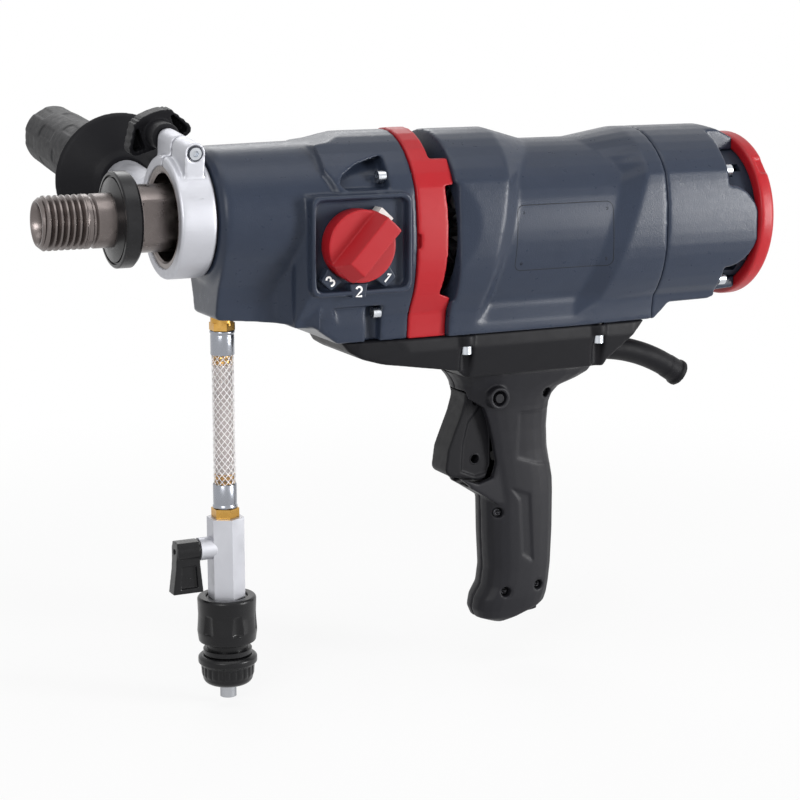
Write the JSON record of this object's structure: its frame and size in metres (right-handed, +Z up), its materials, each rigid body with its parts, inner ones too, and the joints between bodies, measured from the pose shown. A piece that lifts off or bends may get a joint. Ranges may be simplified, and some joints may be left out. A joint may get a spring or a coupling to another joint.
{
  "type": "core drill",
  "caption": "Hand-held wet core drill motor unit with threaded spindle, gear selector, pistol grip with trigger, side handle on a neck clamp and a water feed with valve and hose coupling",
  "frame": {"origin": "on the spindle axis at the front of the stand neck, in the plane of the clamp's front face", "axes": "-X along the spindle out of the tool, +Z up, the pistol grip hangs to -Z, the selector faces -Y and the side handle points to +Y"},
  "size_m": [0.4736, 0.3306, 0.3608],
  "materials": {
    "housing_paint": "cast aluminium, fine-textured dark blue-grey paint",
    "motor_shell": "moulded shell, fine-textured dark blue-grey",
    "red_plastic": "fine-textured red moulding",
    "black_plastic": "fine-textured black moulding",
    "grip_rubber": "soft black grip",
    "bare_aluminium": "satin turned and cast aluminium",
    "spindle_steel": "turned steel, lightly tarnished",
    "bright_steel": "zinc plated",
    "lamination": "stacked sheet steel",
    "brass": "turned brass",
    "hose_clear": "clear hose over a woven braid",
    "carbon": "pressed carbon",
    "grey_plastic": "light grey moulding",
    "seal_rubber": "black lip seal"
  },
  "bodies": {
    "machine": {"gear_housing": "housing_paint", "neck_sleeve": "spindle_steel", "spindle_seals": "seal_rubber", "spindle_bearings": "bright_steel", "mid_plate": "bare_aluminium", "gear_plate": "bare_aluminium", "countershaft_bearings": "bright_steel", "armature_bearings": "bright_steel", "vent_ring": "red_plastic", "motor_housing": "motor_shell", "rear_cover": "motor_shell", "intake_drum": "black_plastic", "rear_ring": "red_plastic", "gearbox_screws": "bright_steel", "rear_screws": "bright_steel", "base_screws": "bright_steel", "stator": "lamination", "brush_holders": "brass", "carbon_brushes": "carbon", "handle_base": "black_plastic", "handle_left": "black_plastic", "handle_right": "black_plastic", "switch_body": "black_plastic", "cord_sleeve": "grip_rubber", "water_fitting": "brass", "hose": "hose_clear", "hose_ferrules": "bright_steel", "hose_nut": "brass", "valve_body": "bare_aluminium", "coupling_body": "grey_plastic", "coupling_nut": "black_plastic", "shift_rail": "bright_steel"},
    "spindle": {"spindle": "spindle_steel", "slip_ring": "black_plastic", "spindle_gears": "bright_steel"},
    "countershaft": {"countershaft": "bright_steel", "input_gear": "bright_steel", "drive_gear_3": "bright_steel"},
    "idler_1": {"drive_gear_1": "bright_steel"},
    "idler_2": {"drive_gear_2": "bright_steel"},
    "draw_key": {"draw_key": "bright_steel"},
    "shift_fork": {"shift_fork": "bright_steel"},
    "selector": {"selector_knob": "red_plastic", "selector_shaft": "bright_steel"},
    "selector_release": {"selector_release": "grey_plastic"},
    "armature": {"armature_shaft": "bright_steel", "armature_core": "lamination", "commutator": "brass", "cooling_fan": "black_plastic"},
    "trigger": {"trigger": "black_plastic"},
    "lock_button": {"lock_button": "black_plastic"},
    "valve": {"valve_lever": "black_plastic", "valve_ball": "bright_steel"},
    "coupling_sleeve": {"coupling_sleeve": "black_plastic"},
    "side_handle": {"clamp_ring": "bare_aluminium", "clamp_bolt": "bright_steel", "hand_guard": "black_plastic", "side_grip": "grip_rubber"},
    "wing_knob": {"wing_knob": "black_plastic"}
  },
  "joints": [
    {"name": "spindle_spin", "type": "hinge", "parent": "machine", "child": "spindle", "pos_m": [0, 0, 0], "axis": [1, 0, 0], "continuous": true},
    {"name": "countershaft_spin", "type": "hinge", "parent": "machine", "child": "countershaft", "pos_m": [0.11, 0, -0.044], "axis": [1, 0, 0], "continuous": true},
    {"name": "idler_1_spin", "type": "hinge", "parent": "machine", "child": "idler_1", "pos_m": [0.126, 0, -0.044], "axis": [1, 0, 0], "continuous": true},
    {"name": "idler_2_spin", "type": "hinge", "parent": "machine", "child": "idler_2", "pos_m": [0.117, 0, -0.044], "axis": [1, 0, 0], "continuous": true},
    {"name": "armature_spin", "type": "hinge", "parent": "machine", "child": "armature", "pos_m": [0.23, 0, -0.0152], "axis": [1, 0, 0], "continuous": true},
    {"name": "selector_turn", "type": "hinge", "parent": "machine", "child": "selector", "pos_m": [0.1045, -0.05, -0.0165], "axis": [0, -1, 0], "range_deg": [0, 85.1]},
    {"name": "shift_fork_slide", "type": "slide", "parent": "machine", "child": "shift_fork", "axis": [1, 0, 0], "range_m": [0, 0.018]},
    {"name": "draw_key_slide", "type": "slide", "parent": "countershaft", "child": "draw_key", "axis": [1, 0, 0], "range_m": [0, 0.01802]},
    {"name": "selector_release_press", "type": "slide", "parent": "selector", "child": "selector_release", "axis": [-0.6756, 0, -0.7373], "range_m": [0, 0.0025], "stiffness_N_per_m": 800},
    {"name": "trigger_pull", "type": "hinge", "parent": "machine", "child": "trigger", "pos_m": [0.204, 0, -0.126], "axis": [0, -1, 0], "range_deg": [0, 8], "stiffness_Nm_per_rad": 6, "springref_deg": -2.86},
    {"name": "lock_button_press", "type": "slide", "parent": "machine", "child": "lock_button", "axis": [0, 1, 0], "range_m": [0, 0.0035], "stiffness_N_per_m": 800},
    {"name": "valve_turn", "type": "hinge", "parent": "machine", "child": "valve", "pos_m": [0.0115, 0, -0.203], "axis": [1, 0, 0], "range_deg": [0, 90]},
    {"name": "coupling_sleeve_pull", "type": "slide", "parent": "machine", "child": "coupling_sleeve", "axis": [0, 0, -1], "range_m": [0, 0.004], "stiffness_N_per_m": 1500},
    {"name": "side_handle_swivel", "type": "hinge", "parent": "machine", "child": "side_handle", "pos_m": [0.011, 0, 0], "axis": [1, 0, 0], "range_deg": [-60, 180]},
    {"name": "wing_knob_turn", "type": "hinge", "parent": "side_handle", "child": "wing_knob", "pos_m": [0.0116, 0.02466, 0.04534], "axis": [0, 0.9925, 0.1219], "range_deg": [-360, 360]}
  ],
  "couplings": [
    {"joint": "countershaft_spin", "follows": "spindle_spin", "ratio": -0.83333},
    {"joint": "idler_1_spin", "follows": "spindle_spin", "ratio": -3},
    {"joint": "idler_2_spin", "follows": "spindle_spin", "ratio": -1.3158},
    {"joint": "armature_spin", "follows": "spindle_spin", "ratio": 2.5},
    {"joint": "selector_turn", "follows": "shift_fork_slide", "rad_per_m": 82.418},
    {"joint": "draw_key_slide", "follows": "shift_fork_slide", "ratio": 1}
  ]
}
